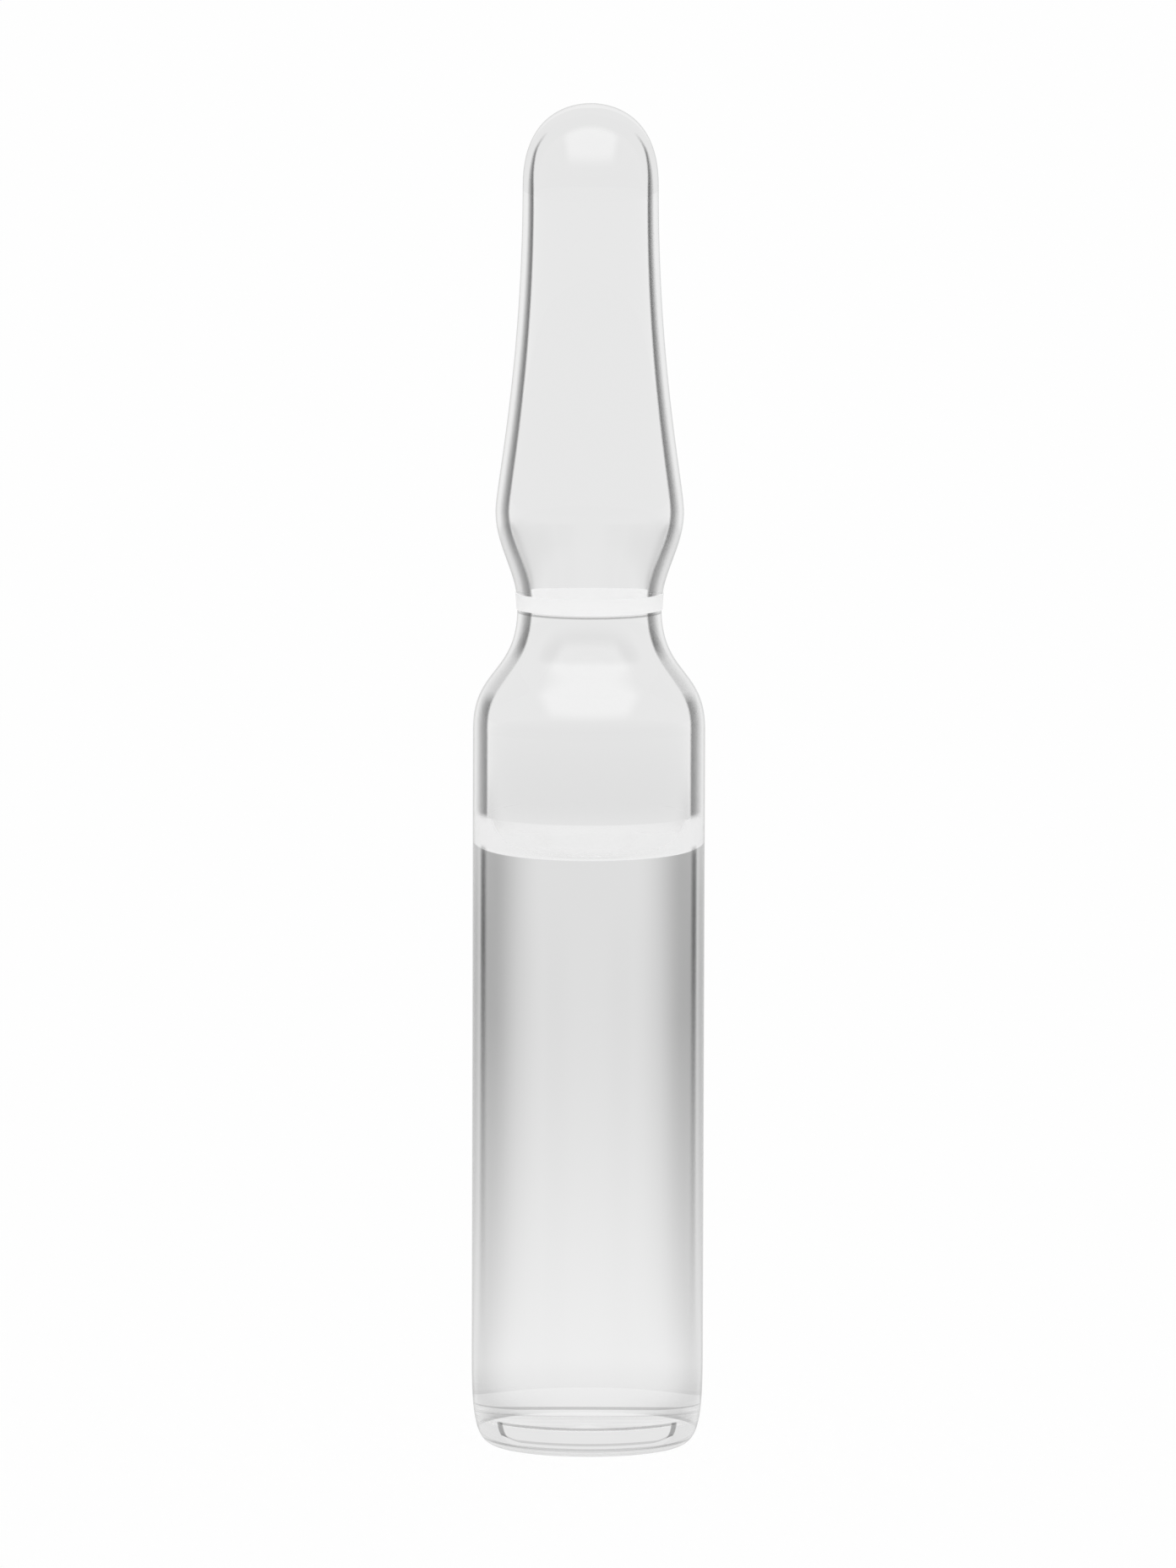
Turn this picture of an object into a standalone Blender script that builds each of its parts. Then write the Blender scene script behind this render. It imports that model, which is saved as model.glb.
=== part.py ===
"""Sealed glass ampoule with its break ring and its liquid, in metres with +Z up.

The origin is on the axis at the foot. The ampoule stands on the flat ring of glass round its pushed-up base.
"""

import math

import bpy
import numpy as np

MM = 0.001

# Lengths of the outside, from the foot to the tip
FOOT_HEIGHT = 4.3 * MM
BODY_LENGTH = 29.15 * MM
SHOULDER_LENGTH = 5.65 * MM
NECK_LENGTH = 4.45 * MM
TAPER_LENGTH = 15.1 * MM
TIP_LENGTH = 3.8 * MM

# Diameters of the outside
BODY_DIAMETER = 10.75 * MM
WAIST_DIAMETER = 6.67 * MM
BULB_DIAMETER = 8.72 * MM
STEM_DIAMETER = 6.28 * MM

# Foot: the flat ring that it stands on and the dome pushed up inside it
CONTACT_OUTER_DIAMETER = 8.2 * MM
CONTACT_WIDTH = 0.25 * MM
PUSH_UP_HEIGHT = 0.55 * MM

# Thickness of the glass
BODY_WALL = 0.66 * MM
WAIST_WALL = 0.65 * MM
BULB_WALL = 0.62 * MM
STEM_WALL = 0.5 * MM
TIP_THICKNESS = 0.9 * MM
FLOOR_THICKNESS = 0.7 * MM

# Inside of the foot
FLOOR_CORNER_HEIGHT = 0.9 * MM
FLOOR_CORNER_REACH = 0.55 * MM

# Hair-fine bore through the seal, which keeps the hollow open to the outside
SEAL_BORE_DIAMETER = 0.3 * MM

# Break ring, a band of ceramic ink fired on just above the waist
RING_WIDTH = 0.75 * MM
RING_ABOVE_WAIST = 0.3 * MM
RING_THICKNESS = 0.06 * MM
RING_CLEARANCE = 0.01 * MM

# Liquid, which climbs the wall in a meniscus
LIQUID_CENTRE_HEIGHT = 27.35 * MM
MENISCUS_DEPTH = 1.85 * MM
MENISCUS_POWER = 3.6
LIQUID_CLEARANCE = 0.02 * MM

# How far each curve holds its direction at its two ends, as a share of its own span
FOOT_PULLS = (0.77, 0.83)
SHOULDER_PULLS = (0.50, 0.56)
NECK_PULLS = (0.37, 0.38)
TAPER_PULLS = (0.08, 0.56)
TIP_PULLS = (0.92, 0.24)
PUSH_UP_PULLS = (0.45, 0.45)
FLOOR_CORNER_PULLS = (0.55, 0.55)

# Fineness of the mesh
SEGMENTS = 48
FOOT_STEPS = 9
SHOULDER_STEPS = 10
NECK_STEPS = 8
TAPER_STEPS = 9
TIP_STEPS = 11
PUSH_UP_STEPS = 5
FLOOR_CORNER_STEPS = 6
RING_STEPS = 3
MENISCUS_STEPS = 10
SHARP_ANGLE = math.radians(40)
MERGE_DISTANCE = 0.000001

# Places that follow from the sizes above
SHOULDER_HEIGHT = FOOT_HEIGHT + BODY_LENGTH
WAIST_HEIGHT = SHOULDER_HEIGHT + SHOULDER_LENGTH
BULB_HEIGHT = WAIST_HEIGHT + NECK_LENGTH
STEM_HEIGHT = BULB_HEIGHT + TAPER_LENGTH
TOTAL_HEIGHT = STEM_HEIGHT + TIP_LENGTH
FLOOR_HEIGHT = PUSH_UP_HEIGHT + FLOOR_THICKNESS
BODY_BORE_RADIUS = BODY_DIAMETER / 2 - BODY_WALL


def bezier(start, start_handle, end_handle, end, steps):
    """Points of a cubic curve, each one a radius and a height, with both ends."""
    t = np.linspace(0.0, 1.0, steps + 1)[:, None]
    near = (1 - t) ** 3 * np.array(start) + 3 * (1 - t) ** 2 * t * np.array(start_handle)
    far = 3 * (1 - t) * t**2 * np.array(end_handle) + t**3 * np.array(end)
    return near + far


def sweep(upper, lower, pulls, steps):
    """A curve that goes down from one upright stretch to the next, with its pulls given from the lower end."""
    span = upper[1] - lower[1]
    upper_handle = (upper[0], upper[1] - pulls[1] * span)
    lower_handle = (lower[0], lower[1] + pulls[0] * span)
    return bezier(upper, upper_handle, lower_handle, lower, steps)


def turn(upright, level, pulls, steps):
    """A quarter turn from an upright end to a level one, with the upright end's pull first."""
    upright_handle = (upright[0], upright[1] + pulls[0] * (level[1] - upright[1]))
    level_handle = (level[0] + pulls[1] * (upright[0] - level[0]), level[1])
    return bezier(upright, upright_handle, level_handle, level, steps)


def upper_outside():
    """Outline of the outside from the crown of the tip down to the foot."""
    crown = (0.0, TOTAL_HEIGHT)
    stem = (STEM_DIAMETER / 2, STEM_HEIGHT)
    bulb = (BULB_DIAMETER / 2, BULB_HEIGHT)
    waist = (WAIST_DIAMETER / 2, WAIST_HEIGHT)
    shoulder = (BODY_DIAMETER / 2, SHOULDER_HEIGHT)
    foot = (BODY_DIAMETER / 2, FOOT_HEIGHT)
    tip = turn(stem, crown, TIP_PULLS, TIP_STEPS)[::-1]
    taper = sweep(stem, bulb, TAPER_PULLS, TAPER_STEPS)
    neck = sweep(bulb, waist, NECK_PULLS, NECK_STEPS)
    slope = sweep(waist, shoulder, SHOULDER_PULLS, SHOULDER_STEPS)
    return np.concatenate([tip, taper[1:], neck[1:], slope[1:], [foot]])


def lower_outside():
    """Outline of the foot: its rounded edge, the flat ring that it stands on and the dome pushed up inside."""
    foot = (BODY_DIAMETER / 2, FOOT_HEIGHT)
    contact = (CONTACT_OUTER_DIAMETER / 2, 0.0)
    hollow_edge = (contact[0] - CONTACT_WIDTH, 0.0)
    crest = (0.0, PUSH_UP_HEIGHT)
    edge = turn(foot, contact, FOOT_PULLS, FOOT_STEPS)
    edge_handle = (hollow_edge[0] * (1 - PUSH_UP_PULLS[0]), PUSH_UP_HEIGHT * PUSH_UP_PULLS[0])
    crest_handle = (hollow_edge[0] * PUSH_UP_PULLS[1], PUSH_UP_HEIGHT)
    dome = bezier(hollow_edge, edge_handle, crest_handle, crest, PUSH_UP_STEPS)
    return np.concatenate([edge[1:], dome])


def moved_inwards(outline, distances):
    """The outline moved towards the hollow, square to itself, by the distance given for each point."""
    along = np.gradient(outline, axis=0)
    along /= np.linalg.norm(along, axis=1)[:, None]
    inwards = np.stack([along[:, 1], -along[:, 0]], axis=1)
    return outline + inwards * np.reshape(distances, (-1, 1))


def upper_inside(outside):
    """Outline of the hollow from the tip down to the bottom of the straight bore."""
    heights = [SHOULDER_HEIGHT, WAIST_HEIGHT, BULB_HEIGHT, STEM_HEIGHT, TOTAL_HEIGHT]
    walls = [BODY_WALL, WAIST_WALL, BULB_WALL, STEM_WALL, TIP_THICKNESS]
    inside = moved_inwards(outside[:-1], np.interp(outside[:-1, 1], heights, walls))
    inside[0] = (0.0, TOTAL_HEIGHT - TIP_THICKNESS)
    return inside


def lower_inside():
    """Outline of the hollow's round lower corner and its floor, down to the axis."""
    wall_end = (BODY_BORE_RADIUS, FLOOR_HEIGHT + FLOOR_CORNER_HEIGHT)
    floor_edge = (BODY_BORE_RADIUS - FLOOR_CORNER_REACH, FLOOR_HEIGHT)
    corner = turn(wall_end, floor_edge, FLOOR_CORNER_PULLS, FLOOR_CORNER_STEPS)
    return np.concatenate([corner, [(0.0, FLOOR_HEIGHT)]])


def glass_profile():
    """The whole section of the glass: up the inside from the floor, and down the outside to the push-up."""
    outside = upper_outside()
    inside = np.concatenate([upper_inside(outside), lower_inside()])
    outside[0, 0] = SEAL_BORE_DIAMETER / 2
    inside[0, 0] = SEAL_BORE_DIAMETER / 2
    return np.concatenate([inside[::-1], outside, lower_outside()])


def ring_profile():
    """The section of the break ring, which lies on the glass of the neck."""
    outside = upper_outside()
    middle = WAIST_HEIGHT + RING_ABOVE_WAIST
    heights = np.linspace(middle + RING_WIDTH / 2, middle - RING_WIDTH / 2, RING_STEPS + 1)
    glass = np.interp(heights, outside[::-1, 1], outside[::-1, 0])
    outer = np.stack([glass + RING_CLEARANCE + RING_THICKNESS, heights], axis=1)
    inner = np.stack([glass + RING_CLEARANCE, heights], axis=1)
    return np.concatenate([outer, inner[::-1], outer[:1]])


def liquid_profile():
    """The section of the liquid: out along the meniscus, down the wall and in along the floor."""
    vessel = lower_inside()
    distances = np.full(len(vessel), LIQUID_CLEARANCE)
    vessel = moved_inwards(vessel, distances)
    vessel[0, 0] = BODY_BORE_RADIUS - LIQUID_CLEARANCE
    vessel[-2:, 1] = FLOOR_HEIGHT + LIQUID_CLEARANCE
    vessel[-1, 0] = 0.0
    share = np.linspace(0.0, 1.0, MENISCUS_STEPS + 1)
    surface_height = LIQUID_CENTRE_HEIGHT + MENISCUS_DEPTH * share**MENISCUS_POWER
    surface = np.stack([share * vessel[0, 0], surface_height], axis=1)
    return np.concatenate([surface, vessel])


def material(name, colour, roughness, transmission=0.0, refraction=1.5):
    """A plain Principled material."""
    made = bpy.data.materials.new(name)
    made.use_nodes = True
    shader = made.node_tree.nodes["Principled BSDF"]
    shader.inputs["Base Color"].default_value = (*colour, 1.0)
    shader.inputs["Roughness"].default_value = roughness
    shader.inputs["Metallic"].default_value = 0.0
    shader.inputs["Transmission Weight"].default_value = transmission
    shader.inputs["IOR"].default_value = refraction
    return made


def turned(name, profile, finish, collection):
    """A closed solid turned about the Z axis from its section."""
    mesh = bpy.data.meshes.new(name)
    points = [(radius, 0.0, height) for radius, height in profile]
    edges = [(index, index + 1) for index in range(len(points) - 1)]
    mesh.from_pydata(points, edges, [])
    piece = bpy.data.objects.new(name, mesh)
    collection.objects.link(piece)
    screw = piece.modifiers.new("Turn", "SCREW")
    screw.steps = SEGMENTS
    screw.render_steps = SEGMENTS
    screw.use_merge_vertices = True
    screw.merge_threshold = MERGE_DISTANCE
    view = bpy.context.evaluated_depsgraph_get()
    piece.data = bpy.data.meshes.new_from_object(piece.evaluated_get(view))
    piece.data.name = name
    piece.modifiers.clear()
    bpy.data.meshes.remove(mesh)
    piece.data.shade_smooth()
    piece.data.set_sharp_from_angle(angle=SHARP_ANGLE)
    piece.data.materials.append(finish)
    return piece


def main():
    for old in list(bpy.data.objects):
        bpy.data.objects.remove(old, do_unlink=True)
    ampoule = bpy.data.collections.new("glass_ampoule")
    bpy.context.scene.collection.children.link(ampoule)

    clear_glass = material("clear_glass", (0.96, 0.98, 0.98), 0.0, transmission=1.0, refraction=1.5)
    white_ink = material("white_ceramic_ink", (0.9, 0.9, 0.89), 0.45)
    clear_liquid = material("clear_liquid", (0.98, 0.99, 1.0), 0.0, transmission=1.0, refraction=1.33)

    glass = turned("ampoule_glass", glass_profile(), clear_glass, ampoule)
    ring = turned("break_ring", ring_profile(), white_ink, ampoule)
    liquid = turned("liquid_fill", liquid_profile(), clear_liquid, ampoule)
    ring.parent = glass
    liquid.parent = glass


main()
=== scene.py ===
import math

import bpy
import numpy as np
from mathutils import Matrix, Vector


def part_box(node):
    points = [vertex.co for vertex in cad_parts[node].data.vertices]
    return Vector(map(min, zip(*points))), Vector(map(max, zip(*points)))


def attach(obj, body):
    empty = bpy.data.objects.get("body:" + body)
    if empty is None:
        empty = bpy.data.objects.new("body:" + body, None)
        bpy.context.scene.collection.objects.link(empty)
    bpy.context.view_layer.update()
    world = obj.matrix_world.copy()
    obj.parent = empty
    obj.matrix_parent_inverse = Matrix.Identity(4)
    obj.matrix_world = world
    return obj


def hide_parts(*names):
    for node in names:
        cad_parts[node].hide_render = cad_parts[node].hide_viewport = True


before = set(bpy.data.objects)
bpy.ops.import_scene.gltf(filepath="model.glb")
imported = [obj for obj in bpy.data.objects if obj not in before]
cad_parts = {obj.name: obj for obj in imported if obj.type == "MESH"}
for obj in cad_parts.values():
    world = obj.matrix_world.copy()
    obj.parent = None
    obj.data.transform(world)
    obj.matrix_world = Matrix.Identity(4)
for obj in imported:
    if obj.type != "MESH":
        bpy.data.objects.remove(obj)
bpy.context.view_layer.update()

MM = 0.001

# How much higher the liquid climbs at the wall than its plain solid does
CONTACT_RISE = 0.3 * MM

# Sizes that the frame gives
GLASS_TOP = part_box("ampoule_glass")[1].z
BODY_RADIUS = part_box("ampoule_glass")[1].x
RING_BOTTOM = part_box("break_ring")[0].z
RING_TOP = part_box("break_ring")[1].z
LIQUID_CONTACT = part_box("liquid_fill")[1].z + CONTACT_RISE

# Heights where the outside of the glass runs straight up
FOOT_HEIGHT = 4.3 * MM
SHOULDER_HEIGHT = FOOT_HEIGHT + 29.15 * MM
WAIST_HEIGHT = SHOULDER_HEIGHT + 5.65 * MM
BULB_HEIGHT = WAIST_HEIGHT + 4.45 * MM
STEM_HEIGHT = BULB_HEIGHT + 15.1 * MM

# Radii there, and of the foot
WAIST_RADIUS = 3.335 * MM
BULB_RADIUS = 4.36 * MM
STEM_RADIUS = 3.14 * MM
CONTACT_RADIUS = 4.1 * MM
CONTACT_WIDTH = 0.25 * MM
PUSH_UP_HEIGHT = 0.55 * MM

# Thickness of the glass
BODY_WALL = 0.66 * MM
WAIST_WALL = 0.65 * MM
BULB_WALL = 0.62 * MM
STEM_WALL = 0.5 * MM
TIP_THICKNESS = 0.9 * MM
FLOOR_THICKNESS = 0.7 * MM
FLOOR_CORNER_HEIGHT = 0.9 * MM
FLOOR_CORNER_REACH = 0.55 * MM
FLOOR_HEIGHT = PUSH_UP_HEIGHT + FLOOR_THICKNESS
BORE_RADIUS = BODY_RADIUS - BODY_WALL

# Liquid, whose side begins beyond a share of its radius
MENISCUS_DEPTH = 1.8 * MM
MENISCUS_POWER = 13.0
LIQUID_GAP = 0.002 * MM
SURFACE_ROUGHNESS = 0.15
SIDE_SHARE = 0.999

# Break ring
RING_THICKNESS = 0.05 * MM
RING_GAP = 0.004 * MM
INK_WHITE = 0.95
INK_ROUGHNESS = 0.4

# How far each curve holds its direction at its two ends, as a share of its own span
FOOT_PULLS = (0.77, 0.83)
SHOULDER_PULLS = (0.50, 0.56)
NECK_PULLS = (0.37, 0.38)
TAPER_PULLS = (0.08, 0.56)
TIP_PULLS = (0.92, 0.24)
PUSH_UP_PULLS = (0.45, 0.45)
FLOOR_CORNER_PULLS = (0.55, 0.55)

# Fineness of the turned meshes
SEGMENTS = 160
CURVE_STEPS = 28
MERGE_DISTANCE = 0.000001
SHARP_ANGLE = math.radians(40)
LEAST_RADIUS = 0.000001

# Camera
CAMERA_TARGET = Vector((-0.043 * MM, 0.0, 30.86 * MM))
CAMERA_DISTANCE = 800 * MM
CAMERA_ELEVATION = math.radians(6.5)
CAMERA_ROLL = math.radians(0.17)
CAMERA_LENS = 396.6
CAMERA_NEAR = 10 * MM
SENSOR_HEIGHT = 36.0

# White floor. Through the glass its brightness changes from the foot to the middle and to the far distance
FLOOR_SIZE = 8.0
FLOOR_GLOW = 0.92
PAPER_WHITE = 0.9
NEAR_LEVEL = 0.865
MIDDLE_LEVEL = 0.71
MIDDLE_DISTANCE = 165 * MM
FAR_LEVEL = 0.79
FAR_START = 235 * MM
FAR_END = 350 * MM

# Its corners, between the four main axes, are greyer through the glass, and less so on the diagonal itself
CORNER_START = math.radians(10.5)
CORNER_END = math.radians(30)
CORNER_LEVEL = 0.45
DIAGONAL_START = math.radians(37)
DIAGONAL_END = math.radians(45)
DIAGONAL_SHARE = 1.5
CORNER_SHARE_AT_FOOT = 0.22
CORNERS_FULL = 145 * MM
CORNERS_FADE_START = 200 * MM
CORNERS_FADE_END = 275 * MM

# Broad light overhead that the highlights mirror, with the directions between which it fades in
OVERHEAD_LEVEL = 2.6
OVERHEAD_LOW = math.sin(math.radians(12))
OVERHEAD_HIGH = math.sin(math.radians(34))
OVERHEAD_MIDDLE = 0.0
OVERHEAD_FRONT = -0.35
OVERHEAD_OUTER = 0.74
OVERHEAD_INNER = 0.54

# Refraction of the glass, of the liquid, and of the glass where the liquid wets it
GLASS_REFRACTION = 1.5
LIQUID_REFRACTION = 1.33
WETTED_REFRACTION = GLASS_REFRACTION / LIQUID_REFRACTION

# Light that the glass has turned this often goes straight on, instead of ending in black
MOST_TURNS = 5.5

# A count of bounces above this is at least one
ONCE = 0.5

# At this blend, a surface's facing is one less the cosine of its angle to the eye
COSINE_BLEND = 0.5

# Painted shade: a dark line where the wall is seen edge on, in place of the one that refraction draws there.
# Its bounds are shares of the way in to the hollow's edge
EDGE_ATTRIBUTE = "wall_edge"
EDGE_LINE_LEVEL = 0.15
LEAST_WALL_EDGE = 0.02
DRY_INNER_END = 1.05
DRY_INNER_START = 0.955
DRY_OUTER_START = 0.97
WET_INNER_END = 1.03
WET_INNER_START = 0.87
WET_OUTER_START = 0.84
WET_FADE = 0.2 * MM

# How strong the line is at some heights: the light of the meniscus covers it, and near the foot it fades
EDGE_LINE_STRENGTH = (
    (4.3 * MM, 0.0),
    (8.2 * MM, 0.1),
    (16.0 * MM, 0.4),
    (24.0 * MM, 0.85),
    (LIQUID_CONTACT - 1.5 * MM, 0.85),
    (LIQUID_CONTACT - 1.3 * MM, 0.0),
    (LIQUID_CONTACT, 0.0),
    (LIQUID_CONTACT + 0.2 * MM, 0.85),
    (SHOULDER_HEIGHT + 1.4 * MM, 0.85),
    (SHOULDER_HEIGHT + 1.9 * MM, 0.3),
    (SHOULDER_HEIGHT + 3.3 * MM, 0.3),
    (SHOULDER_HEIGHT + 4.0 * MM, 0.9),
    (WAIST_HEIGHT + 2.4 * MM, 0.75),
    (BULB_HEIGHT + 0.8 * MM, 0.9),
    (STEM_HEIGHT, 1.0),
    (60.3 * MM, 0.9),
    (61.2 * MM, 0.0),
)

# Where the line fades out towards the rim
EDGE_LINE_OUTER_END = (
    (LIQUID_CONTACT - 0.2 * MM, 0.70),
    (LIQUID_CONTACT, 0.36),
    (SHOULDER_HEIGHT + 1.0 * MM, 0.36),
    (WAIST_HEIGHT, 0.45),
    (BULB_HEIGHT, 0.50),
    (STEM_HEIGHT, 0.64),
    (60.8 * MM, 0.84),
)

# Round the tip the line runs nearer the rim than the thickness of the glass alone would put it
TIP_LINE_START = STEM_HEIGHT
TIP_LINE_END = 60.4 * MM
TIP_LINE_SHARE = 0.78

# Down to this height the outside keeps its own mark for the line, and the sole takes the last one
CONTACT_HEIGHT_LIMIT = 0.3 * MM

# Painted shade: soft grey of the very rim, by how far the surface is turned to the eye
RIM_LEVEL = 0.70
WET_RIM_LEVEL = 0.75
RIM_START = 0.10
RIM_END = 0.22

# Painted shade in fine lines round the glass: one just below the ring, and three that the foot shows round
# its lens of light
RING_SHADE_LINE_DROP = 0.12 * MM
RING_SHADE_LINE_WIDTH = 0.06 * MM
RING_SHADE_LINE_LEVEL = 0.6
FLOOR_LINE_HEIGHT = 1.43 * MM
FLOOR_LINE_LEVEL = 0.67
FOOT_LINE_HEIGHT = 0.68 * MM
FOOT_LINE_RISE = 0.22 * MM
FOOT_LINE_LEVEL = 0.76
SOLE_LINE_HEIGHT = 0.41 * MM
SOLE_LINE_LEVEL = 0.7
FOOT_LINE_WIDTH = 0.08 * MM

# Ends of the foot's lens of light, by how far the surface is turned to the eye, with the painted dark lines
# at its ends and the painted shade outside it
LENS_END = 0.52
LENS_END_SLOPE = 0.04 / MM
LENS_END_MIDDLE = 0.02
LENS_END_WIDTH = 0.035
LENS_END_LEVEL = 0.45
LENS_CORNER_REACH = 0.12
LENS_LINES_FADE = 0.04
OUTSIDE_LENS_FADE = 0.02
OUTSIDE_LENS_LEVEL = 0.94

# Painted shade above the floor of the hollow: its lower edge, its reach, its depth from the sides to the
# middle, and its fine line
SHADE_EDGE_LOW = 0.72 * MM
SHADE_EDGE_RISE = 1.6 * MM
SHADE_REACH = 1.5 * MM
SHADE_DEPTH = ((0.25, 0.0), (0.4, 0.17), (0.55, 0.29), (0.68, 0.24), (0.8, 0.12), (0.95, 0.05))
SHADE_LINE_DEPTH = 0.1
SHADE_LINE_FULL = 0.7
SHADE_LINE_END = 0.9


class Graph:
    """Short ways to add nodes to one node tree. A value is a number or another node's socket."""

    def __init__(self, tree):
        self.tree = tree

    def node(self, kind, **settings):
        """A new node with some of its settings."""
        made = self.tree.nodes.new(kind)
        for name, value in settings.items():
            setattr(made, name, value)
        return made

    def put(self, value, socket):
        """Gives a socket its value, by a link if it comes from a node."""
        if isinstance(value, bpy.types.NodeSocket):
            self.tree.links.new(value, socket)
        else:
            socket.default_value = value

    def math(self, operation, first, second=0.0, third=0.0):
        """The result of one sum."""
        made = self.node("ShaderNodeMath", operation=operation)
        self.put(first, made.inputs[0])
        self.put(second, made.inputs[1])
        self.put(third, made.inputs[2])
        return made.outputs[0]

    def product(self, first, *others):
        """All the values multiplied."""
        result = first
        for other in others:
            result = self.math("MULTIPLY", result, other)
        return result

    def along(self, share, at_none, at_full):
        """Goes from one number to another as the share goes from nought to one."""
        return self.math("MULTIPLY_ADD", share, at_full - at_none, at_none)

    def mix(self, share, at_none, at_full):
        """Goes from one value to another as the share goes from nought to one."""
        made = self.node("ShaderNodeMix", data_type="FLOAT")
        self.put(share, made.inputs["Factor"])
        self.put(at_none, made.inputs[2])
        self.put(at_full, made.inputs[3])
        return made.outputs[0]

    def step(self, value, low, high, from_value=0.0, to_value=1.0, shape="SMOOTHSTEP"):
        """Goes from one value to another while the given one passes from low to high."""
        made = self.node("ShaderNodeMapRange", interpolation_type=shape)
        self.put(value, made.inputs["Value"])
        self.put(low, made.inputs["From Min"])
        self.put(high, made.inputs["From Max"])
        self.put(from_value, made.inputs["To Min"])
        self.put(to_value, made.inputs["To Max"])
        return made.outputs["Result"]

    def ramp(self, value, stops, whole):
        """Goes straight from one stop's level to the next. A stop's place is measured up to the whole."""
        made = self.node("ShaderNodeValToRGB")
        self.put(self.math("DIVIDE", value, whole), made.inputs["Fac"])
        elements = made.color_ramp.elements
        elements.remove(elements[1])
        for index, (place, level) in enumerate(stops):
            element = elements[0] if index == 0 else elements.new(place / whole)
            element.position = place / whole
            element.color = grey(level)
        return made.outputs["Color"]

    def parts_of(self, vector):
        """The X, Y and Z of a vector."""
        made = self.node("ShaderNodeSeparateXYZ")
        self.put(vector, made.inputs[0])
        return made.outputs["X"], made.outputs["Y"], made.outputs["Z"]


def grey(level):
    """A colour without hue."""
    return (level, level, level, 1.0)


def bezier(start, start_handle, end_handle, end):
    """Points of a cubic curve, each one a radius and a height, with both ends."""
    t = np.linspace(0.0, 1.0, CURVE_STEPS + 1)[:, None]
    near = (1 - t) ** 3 * np.array(start) + 3 * (1 - t) ** 2 * t * np.array(start_handle)
    far = 3 * (1 - t) * t**2 * np.array(end_handle) + t**3 * np.array(end)
    return near + far


def sweep(upper, lower, pulls):
    """A curve down from one upright stretch to the next, with the lower end's pull first."""
    span = upper[1] - lower[1]
    upper_handle = (upper[0], upper[1] - pulls[1] * span)
    lower_handle = (lower[0], lower[1] + pulls[0] * span)
    return bezier(upper, upper_handle, lower_handle, lower)


def turn(upright, level, pulls):
    """A quarter turn from an upright end to a level one, with the upright end's pull first."""
    upright_handle = (upright[0], upright[1] + pulls[0] * (level[1] - upright[1]))
    level_handle = (level[0] + pulls[1] * (upright[0] - level[0]), level[1])
    return bezier(upright, upright_handle, level_handle, level)


def upper_outside():
    """Outline of the outside from the crown of the tip down to the foot."""
    crown = (0.0, GLASS_TOP)
    stem = (STEM_RADIUS, STEM_HEIGHT)
    bulb = (BULB_RADIUS, BULB_HEIGHT)
    waist = (WAIST_RADIUS, WAIST_HEIGHT)
    shoulder = (BODY_RADIUS, SHOULDER_HEIGHT)
    foot = (BODY_RADIUS, FOOT_HEIGHT)
    tip = turn(stem, crown, TIP_PULLS)[::-1]
    taper = sweep(stem, bulb, TAPER_PULLS)
    neck = sweep(bulb, waist, NECK_PULLS)
    slope = sweep(waist, shoulder, SHOULDER_PULLS)
    return np.concatenate([tip, taper[1:], neck[1:], slope[1:], [foot]])


def lower_outside():
    """Outline of the foot: its rounded edge, the flat ring that it stands on and the pushed-up dome."""
    foot = (BODY_RADIUS, FOOT_HEIGHT)
    contact = (CONTACT_RADIUS, 0.0)
    hollow_edge = (CONTACT_RADIUS - CONTACT_WIDTH, 0.0)
    crest = (0.0, PUSH_UP_HEIGHT)
    edge = turn(foot, contact, FOOT_PULLS)
    edge_handle = (hollow_edge[0] * (1 - PUSH_UP_PULLS[0]), PUSH_UP_HEIGHT * PUSH_UP_PULLS[0])
    crest_handle = (hollow_edge[0] * PUSH_UP_PULLS[1], PUSH_UP_HEIGHT)
    dome = bezier(hollow_edge, edge_handle, crest_handle, crest)
    return np.concatenate([edge[1:], dome])


def moved_inwards(outline, distances):
    """The outline moved towards the hollow, square to itself, by the distance given for each point."""
    along = np.gradient(outline, axis=0)
    along /= np.linalg.norm(along, axis=1)[:, None]
    inwards = np.stack([along[:, 1], -along[:, 0]], axis=1)
    return outline + inwards * np.reshape(distances, (-1, 1))


def upper_inside():
    """Outline of the hollow from the tip down to the top of the straight bore."""
    outside = upper_outside()[:-1]
    heights = [SHOULDER_HEIGHT, WAIST_HEIGHT, BULB_HEIGHT, STEM_HEIGHT, GLASS_TOP]
    walls = [BODY_WALL, WAIST_WALL, BULB_WALL, STEM_WALL, TIP_THICKNESS]
    inside = moved_inwards(outside, np.interp(outside[:, 1], heights, walls))
    inside[0] = (0.0, GLASS_TOP - TIP_THICKNESS)
    return inside


def lower_inside():
    """Outline of the hollow's round lower corner and its floor, down to the axis."""
    wall_end = (BORE_RADIUS, FLOOR_HEIGHT + FLOOR_CORNER_HEIGHT)
    floor_edge = (BORE_RADIUS - FLOOR_CORNER_REACH, FLOOR_HEIGHT)
    corner = turn(wall_end, floor_edge, FLOOR_CORNER_PULLS)
    return np.concatenate([corner, [(0.0, FLOOR_HEIGHT)]])


def liquid_surface(radius):
    """Outline of the liquid's top from the axis out to the wall, which it climbs."""
    share = np.sin(np.linspace(0.0, math.pi / 2, 2 * CURVE_STEPS + 1))
    heights = LIQUID_CONTACT - MENISCUS_DEPTH * (1 - share**MENISCUS_POWER)
    return np.stack([share * radius, heights], axis=1)


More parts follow.
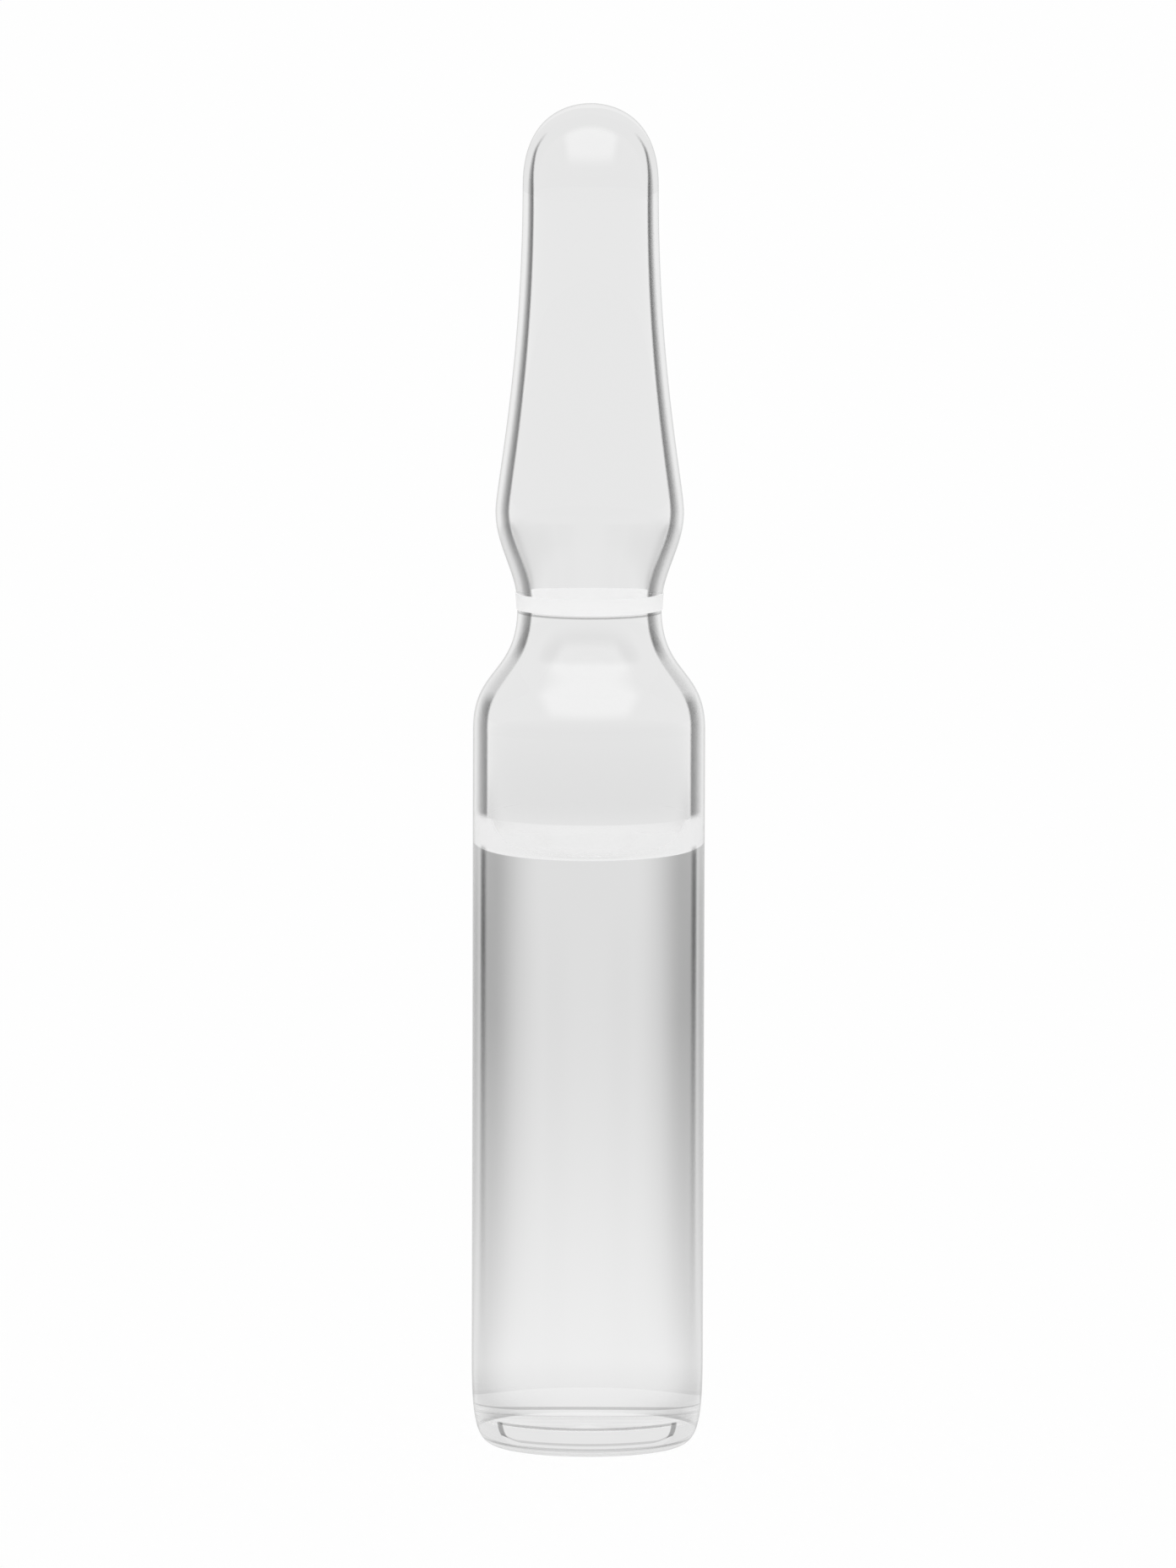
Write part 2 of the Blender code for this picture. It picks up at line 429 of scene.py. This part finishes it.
def turned(name, profiles):
    """One mesh turned about the Z axis from one or more sections, smooth but for its sharp edges."""
    mesh = bpy.data.meshes.new(name)
    points = []
    edges = []
    for profile in profiles:
        first = len(points)
        points += [(radius, 0.0, height) for radius, height in profile]
        edges += [(index, index + 1) for index in range(first, len(points) - 1)]
    mesh.from_pydata(points, edges, [])
    piece = bpy.data.objects.new(name, mesh)
    bpy.context.scene.collection.objects.link(piece)
    screw = piece.modifiers.new("Turn", "SCREW")
    screw.steps = SEGMENTS
    screw.render_steps = SEGMENTS
    screw.use_merge_vertices = True
    screw.merge_threshold = MERGE_DISTANCE
    view = bpy.context.evaluated_depsgraph_get()
    piece.data = bpy.data.meshes.new_from_object(piece.evaluated_get(view))
    piece.data.name = name
    piece.modifiers.clear()
    bpy.data.meshes.remove(mesh)
    piece.data.shade_smooth()
    piece.data.set_sharp_from_angle(angle=SHARP_ANGLE)
    return piece


def give_materials(piece, materials, slot_of):
    """Gives each face the material that slot_of picks for the radius and the height of its centre."""
    for material in materials:
        piece.data.materials.append(material)
    for face in piece.data.polygons:
        radius = math.hypot(face.center.x, face.center.y)
        face.material_index = slot_of(radius, face.center.z)


def new_material(name):
    """A material with nodes."""
    made = bpy.data.materials.new(name)
    made.use_nodes = True
    return made


def shader_of(material):
    """The material's main shader."""
    return material.node_tree.nodes["Principled BSDF"]


def clear_material(name, refraction, roughness=0.0):
    """A clear body with its own refraction. Light that falls on other things passes it without a shadow."""
    made = new_material(name)
    shader = shader_of(made)
    shader.inputs["Base Color"].default_value = grey(1.0)
    shader.inputs["Roughness"].default_value = roughness
    shader.inputs["IOR"].default_value = refraction
    shader.inputs["Transmission Weight"].default_value = 1.0
    graph = Graph(made.node_tree)
    rays = graph.node("ShaderNodeLightPath").outputs
    lighting = graph.math("MAXIMUM", rays["Is Shadow Ray"], rays["Is Diffuse Ray"])
    turns = graph.math("MULTIPLY_ADD", lighting, 2 * MOST_TURNS, rays["Ray Depth"])
    graph.put(graph.math("LESS_THAN", turns, MOST_TURNS), shader.inputs["Alpha"])
    return made


def unseen_material(name):
    """A material that light passes straight through."""
    made = new_material(name)
    graph = Graph(made.node_tree)
    made.node_tree.nodes.remove(shader_of(made))
    clear = graph.node("ShaderNodeBsdfTransparent")
    graph.put(clear.outputs["BSDF"], made.node_tree.nodes["Material Output"].inputs["Surface"])
    return made


def fine_mark(graph, value, middle, width, level):
    """A painted dark line where the value comes within the width of the middle."""
    away = graph.math("ABSOLUTE", graph.math("SUBTRACT", value, middle))
    return graph.step(away, width / 2, width, level, 1.0)


def floor_shade(graph, height, turned_to):
    """Paints shade on the glass above the floor of the hollow, mostly towards both sides, down to a fine
    dark line.
    """
    edge = graph.math("MULTIPLY_ADD", turned_to, SHADE_EDGE_RISE, SHADE_EDGE_LOW)
    over = graph.math("SUBTRACT", height, edge)
    begun = graph.step(over, -FOOT_LINE_WIDTH / 2, 0.0)
    fading = graph.step(over, SHADE_REACH, 0.0)
    depth = graph.product(begun, fading, graph.ramp(turned_to, SHADE_DEPTH, 1.0))
    ended = graph.step(over, 2 * FOOT_LINE_WIDTH, FOOT_LINE_WIDTH)
    line = graph.product(begun, ended, graph.step(turned_to, SHADE_LINE_END, SHADE_LINE_FULL))
    depth = graph.math("MULTIPLY_ADD", line, SHADE_LINE_DEPTH, depth)
    return graph.math("SUBTRACT", 1.0, depth)


def foot_lines(graph, height, turned_to):
    """Paints dark lines round the lens of light that the thick foot shows, and painted shade on the glass
    beside it.
    """
    end = graph.math("MULTIPLY_ADD", height, LENS_END_SLOPE, LENS_END)
    from_end = graph.math("SUBTRACT", turned_to, end)
    near_end = graph.step(from_end, LENS_CORNER_REACH, 0.0)
    lowest = graph.math("MULTIPLY_ADD", near_end, FOOT_LINE_RISE, FOOT_LINE_HEIGHT)
    floor_line = fine_mark(graph, height, FLOOR_LINE_HEIGHT, FOOT_LINE_WIDTH, FLOOR_LINE_LEVEL)
    foot_line = fine_mark(graph, height, lowest, FOOT_LINE_WIDTH, FOOT_LINE_LEVEL)
    along = graph.math("MULTIPLY", floor_line, foot_line)
    along = graph.math("MAXIMUM", along, graph.step(from_end, LENS_LINES_FADE, 0.0))
    above = graph.step(height, FLOOR_LINE_HEIGHT, FLOOR_LINE_HEIGHT + FOOT_LINE_WIDTH)
    below = graph.step(graph.math("SUBTRACT", lowest, height), 0.0, FOOT_LINE_WIDTH)
    end_line = fine_mark(graph, from_end, LENS_END_MIDDLE, LENS_END_WIDTH, LENS_END_LEVEL)
    end_line = graph.math("MAXIMUM", end_line, graph.math("MAXIMUM", above, below))
    # Painted shade on the glass outside the foot's lens of light
    outside = graph.step(from_end, OUTSIDE_LENS_FADE, -OUTSIDE_LENS_FADE, 1.0, OUTSIDE_LENS_LEVEL)
    outside = graph.math("MAXIMUM", outside, above)
    sole_line = fine_mark(graph, height, SOLE_LINE_HEIGHT, FOOT_LINE_WIDTH, SOLE_LINE_LEVEL)
    shade = floor_shade(graph, height, turned_to)
    return graph.product(shade, along, end_line, outside, sole_line)


def painted_wall_shade(graph, height, turned_to, wet):
    """The painted dark line where the wall is seen edge on, which fades out inwards and towards the rim."""
    wall = graph.node("ShaderNodeAttribute", attribute_name=EDGE_ATTRIBUTE).outputs["Fac"]
    share = graph.math("DIVIDE", turned_to, graph.math("MAXIMUM", wall, LEAST_WALL_EDGE))
    inner_end = graph.along(wet, DRY_INNER_END, WET_INNER_END)
    inner_start = graph.along(wet, DRY_INNER_START, WET_INNER_START)
    outer_start = graph.along(wet, DRY_OUTER_START, WET_OUTER_START)
    outer_end = graph.ramp(height, EDGE_LINE_OUTER_END, GLASS_TOP)
    inner_side = graph.step(share, inner_end, inner_start)
    outer_side = graph.step(share, outer_end, outer_start)
    strength = graph.product(inner_side, outer_side, graph.ramp(height, EDGE_LINE_STRENGTH, GLASS_TOP))
    return graph.along(strength, 1.0, EDGE_LINE_LEVEL)


def paint_shade_lines(material):
    """Paints shade into the outside of the glass's colour where the wall is seen edge on, at its rim and at
    its fine lines.
    """
    graph = Graph(material.node_tree)
    height = graph.parts_of(graph.node("ShaderNodeTexCoord").outputs["Object"])[2]
    wet = graph.step(height, LIQUID_CONTACT, LIQUID_CONTACT - WET_FADE)
    weight = graph.node("ShaderNodeLayerWeight")
    graph.put(COSINE_BLEND, weight.inputs["Blend"])
    turned_to = graph.math("SUBTRACT", 1.0, weight.outputs["Facing"])
    # Painted shade: the dark line where the wall is seen edge on
    line = painted_wall_shade(graph, height, turned_to, wet)
    # Painted shade: grey at the rim, where the glass is seen nearly edge on
    rim = graph.step(turned_to, RIM_START, RIM_END, graph.along(wet, RIM_LEVEL, WET_RIM_LEVEL), 1.0)
    # Painted shade: a fine dark line round the glass just below the ring
    ring_shade_height = RING_BOTTOM - RING_SHADE_LINE_DROP
    ring_shade_line = fine_mark(graph, height, ring_shade_height, RING_SHADE_LINE_WIDTH, RING_SHADE_LINE_LEVEL)
    # Painted shade: all these dark lines and greys multiply into the outside glass's colour
    level = graph.product(line, rim, ring_shade_line, foot_lines(graph, height, turned_to))
    graph.put(graph.math("MULTIPLY", level, level), shader_of(material).inputs["Base Color"])


def mark_wall_edge(piece, hollow, outside):
    """Keeps at each point how far the outside is turned to the eye where a level look grazes the hollow, for
    the painted edge-on line.
    """
    heights = outside[:, 1]
    bore = np.interp(heights, hollow[::-1, 1], hollow[::-1, 0], right=0.0)
    along = np.gradient(outside, axis=0)
    upright = np.abs(along[:, 1]) / np.linalg.norm(along, axis=1)
    ratio = np.clip(bore / np.maximum(outside[:, 0], LEAST_RADIUS), 0.0, 1.0)
    values = np.sqrt(1.0 - ratio**2) * upright
    values *= np.interp(heights, [TIP_LINE_START, TIP_LINE_END], [1.0, TIP_LINE_SHARE])
    upper = slice(None, int(np.argmin(np.abs(heights - CONTACT_HEIGHT_LIMIT))) + 1)
    order = np.argsort(heights[upper])
    attribute = piece.data.attributes.new(EDGE_ATTRIBUTE, "FLOAT", "POINT")
    for index, vertex in enumerate(piece.data.vertices):
        attribute.data[index].value = np.interp(vertex.co.z, heights[upper][order], values[upper][order])


def make_glass():
    """The vessel, with the outside and the dry and the wetted inside of its glass told apart."""
    contact_point = (BORE_RADIUS, LIQUID_CONTACT)
    hollow = np.concatenate([upper_inside(), [contact_point], lower_inside()])
    outside = np.concatenate([upper_outside(), lower_outside()])
    glass = turned("glass_shell", [hollow[::-1], outside])
    bore = hollow[1:]
    bore = bore[np.argsort(bore[:, 1])]
    outer = clear_material("clear_glass", GLASS_REFRACTION)
    dry = clear_material("inner_glass", GLASS_REFRACTION)
    wetted = clear_material("wetted_glass", WETTED_REFRACTION)
    outer_slot, dry_slot, wetted_slot = range(3)

    def slot_of(radius, height):
        bore_radius = np.interp(height, bore[:, 1], bore[:, 0])
        beside_hollow = FLOOR_HEIGHT - LIQUID_GAP < height < GLASS_TOP - TIP_THICKNESS / 2
        if beside_hollow and radius < bore_radius + BODY_WALL / 3:
            return wetted_slot if height < LIQUID_CONTACT else dry_slot
        under_foot = radius < CONTACT_RADIUS and height < FLOOR_HEIGHT
        return dry_slot if under_foot else outer_slot

    paint_shade_lines(outer)
    mark_wall_edge(glass, upper_inside(), outside)
    give_materials(glass, [outer, dry, wetted], slot_of)
    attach(glass, "root")
    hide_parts("ampoule_glass")


def make_liquid():
    """The liquid. Only its free surface bends light, because at its sides the wetted glass does it."""
    vessel = lower_inside()
    vessel = moved_inwards(vessel, np.full(len(vessel), LIQUID_GAP))
    side_radius = BORE_RADIUS - LIQUID_GAP
    vessel[0, 0] = side_radius
    vessel[-2:, 1] = FLOOR_HEIGHT + LIQUID_GAP
    vessel[-1, 0] = 0.0
    surface = liquid_surface(side_radius)
    liquid = turned("liquid_body", [np.concatenate([surface, vessel])])
    free_surface = clear_material("liquid_surface", LIQUID_REFRACTION, SURFACE_ROUGHNESS)

    def slot_of(radius, height):
        return int(height < surface[0, 1] or radius > side_radius * SIDE_SHARE)

    give_materials(liquid, [free_surface, unseen_material("liquid_sides")], slot_of)
    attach(liquid, "root")
    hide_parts("liquid_fill")


def make_ring():
    """The band of white ink fired on at the waist."""
    outside = upper_outside()
    heights = np.linspace(RING_TOP, RING_BOTTOM, CURVE_STEPS + 1)
    glass = np.interp(heights, outside[::-1, 1], outside[::-1, 0])
    outer = np.stack([glass + RING_GAP + RING_THICKNESS, heights], axis=1)
    inner = np.stack([glass + RING_GAP, heights], axis=1)
    ring = turned("fired_ring", [np.concatenate([outer, inner[::-1], outer[:1]])])
    ink = new_material("white_ceramic_ink")
    shader_of(ink).inputs["Base Color"].default_value = grey(INK_WHITE)
    shader_of(ink).inputs["Roughness"].default_value = INK_ROUGHNESS
    ring.data.materials.append(ink)
    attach(ring, "root")
    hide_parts("break_ring")


def grey_corners(graph, position):
    """How bright the floor is in a direction: white along the four main axes and greyer between them."""
    x, y = graph.parts_of(position)[:2]
    across = graph.math("ABSOLUTE", x)
    away = graph.math("ABSOLUTE", y)
    least = graph.math("MINIMUM", across, away)
    most = graph.math("MAXIMUM", across, away)
    angle = graph.math("ARCTAN2", least, most)
    corner = graph.step(angle, CORNER_START, CORNER_END, 1.0, CORNER_LEVEL)
    diagonal = graph.step(angle, DIAGONAL_START, DIAGONAL_END, 1.0, DIAGONAL_SHARE)
    return graph.math("MULTIPLY", corner, diagonal)


def floor_through_glass(graph, rays):
    """How bright the floor is to light bent by the glass. Light thrown back inside it sees a plain floor."""
    position = graph.node("ShaderNodeNewGeometry").outputs["Position"]
    length = graph.node("ShaderNodeVectorMath", operation="LENGTH")
    graph.put(position, length.inputs[0])
    distance = length.outputs["Value"]
    corners = graph.step(distance, 0.0, CORNERS_FULL, CORNER_SHARE_AT_FOOT, 1.0, "LINEAR")
    fading = graph.step(distance, CORNERS_FADE_START, CORNERS_FADE_END, 1.0, 0.0)
    level = graph.mix(graph.math("MULTIPLY", corners, fading), 1.0, grey_corners(graph, position))
    middle = graph.step(distance, 0.0, MIDDLE_DISTANCE, NEAR_LEVEL, MIDDLE_LEVEL)
    beyond = graph.step(distance, FAR_START, FAR_END, 1.0, FAR_LEVEL / MIDDLE_LEVEL)
    level = graph.product(level, middle, beyond)
    mirrored = graph.math("GREATER_THAN", rays["Glossy Depth"], ONCE)
    inside = graph.math("GREATER_THAN", rays["Transmission Depth"], ONCE)
    return graph.mix(graph.math("MULTIPLY", mirrored, inside), level, NEAR_LEVEL)


def floor_material():
    """Matt white paper that also glows where the camera or the glass looks at it, like its surroundings."""
    paper = new_material("white_floor")
    shader = shader_of(paper)
    shader.inputs["Base Color"].default_value = grey(PAPER_WHITE)
    shader.inputs["Roughness"].default_value = 1.0
    shader.inputs["Specular IOR Level"].default_value = 0.0
    graph = Graph(paper.node_tree)
    rays = graph.node("ShaderNodeLightPath").outputs
    scattered = graph.math("GREATER_THAN", rays["Diffuse Depth"], ONCE)
    plain = graph.math("MAXIMUM", rays["Is Camera Ray"], scattered)
    glow = graph.node("ShaderNodeEmission")
    graph.put(graph.mix(plain, floor_through_glass(graph, rays), 1.0), glow.inputs["Strength"])
    seen = graph.math("MAXIMUM", rays["Is Camera Ray"], rays["Is Glossy Ray"])
    seen = graph.math("MAXIMUM", seen, rays["Is Transmission Ray"])
    both = graph.node("ShaderNodeMixShader")
    graph.put(graph.math("MULTIPLY", seen, FLOOR_GLOW), both.inputs["Fac"])
    graph.put(shader.outputs["BSDF"], both.inputs[1])
    graph.put(glow.outputs["Emission"], both.inputs[2])
    graph.put(both.outputs["Shader"], paper.node_tree.nodes["Material Output"].inputs["Surface"])
    return paper


def make_floor():
    """The wide floor that the ampoule stands on."""
    half = FLOOR_SIZE / 2
    corners = [(-half, -half, 0), (half, -half, 0), (half, half, 0), (-half, half, 0)]
    mesh = bpy.data.meshes.new("floor")
    mesh.from_pydata(corners, [], [(0, 1, 2, 3)])
    mesh.materials.append(floor_material())
    floor = bpy.data.objects.new("floor", mesh)
    bpy.context.scene.collection.objects.link(floor)


def make_world():
    """White surroundings, a little greyer through the glass, with a light that only its outside mirrors."""
    world = bpy.data.worlds.new("studio")
    bpy.context.scene.world = world
    world.use_nodes = True
    graph = Graph(world.node_tree)
    x, y, z = graph.parts_of(graph.node("ShaderNodeTexCoord").outputs["Generated"])
    rays = graph.node("ShaderNodeLightPath").outputs
    mirrored = graph.math("GREATER_THAN", rays["Glossy Depth"], ONCE)
    outside = graph.math("LESS_THAN", rays["Transmission Depth"], ONCE)
    high = graph.step(z, OVERHEAD_LOW, OVERHEAD_HIGH)
    in_front = graph.step(y, OVERHEAD_MIDDLE, OVERHEAD_FRONT)
    central = graph.step(graph.math("ABSOLUTE", x), OVERHEAD_OUTER, OVERHEAD_INNER)
    overhead = graph.product(high, in_front, central, mirrored, outside)
    level = graph.along(overhead, FAR_LEVEL, OVERHEAD_LEVEL)
    bent = graph.math("MAXIMUM", rays["Is Glossy Ray"], rays["Is Transmission Ray"])
    unscattered = graph.math("LESS_THAN", rays["Diffuse Depth"], ONCE)
    background = world.node_tree.nodes["Background"]
    background.inputs["Color"].default_value = grey(1.0)
    strength = graph.mix(graph.math("MULTIPLY", bent, unscattered), 1.0, level)
    graph.put(strength, background.inputs["Strength"])


def make_camera():
    """The camera at the photo's angle."""
    data = bpy.data.cameras.new("camera")
    data.sensor_fit = "VERTICAL"
    data.sensor_height = SENSOR_HEIGHT
    data.lens = CAMERA_LENS
    data.clip_start = CAMERA_NEAR
    camera = bpy.data.objects.new("camera", data)
    bpy.context.scene.collection.objects.link(camera)
    reach = CAMERA_DISTANCE * math.cos(CAMERA_ELEVATION)
    rise = CAMERA_DISTANCE * math.sin(CAMERA_ELEVATION)
    place = CAMERA_TARGET + Vector((0.0, -reach, rise))
    look = (CAMERA_TARGET - place).to_track_quat("-Z", "Y").to_matrix().to_4x4()
    camera.matrix_world = Matrix.Translation(place) @ look @ Matrix.Rotation(CAMERA_ROLL, 4, "Z")
    bpy.context.scene.camera = camera


make_glass()
make_liquid()
make_ring()
make_floor()
make_world()
make_camera()
bpy.context.scene.view_settings.view_transform = "Standard"
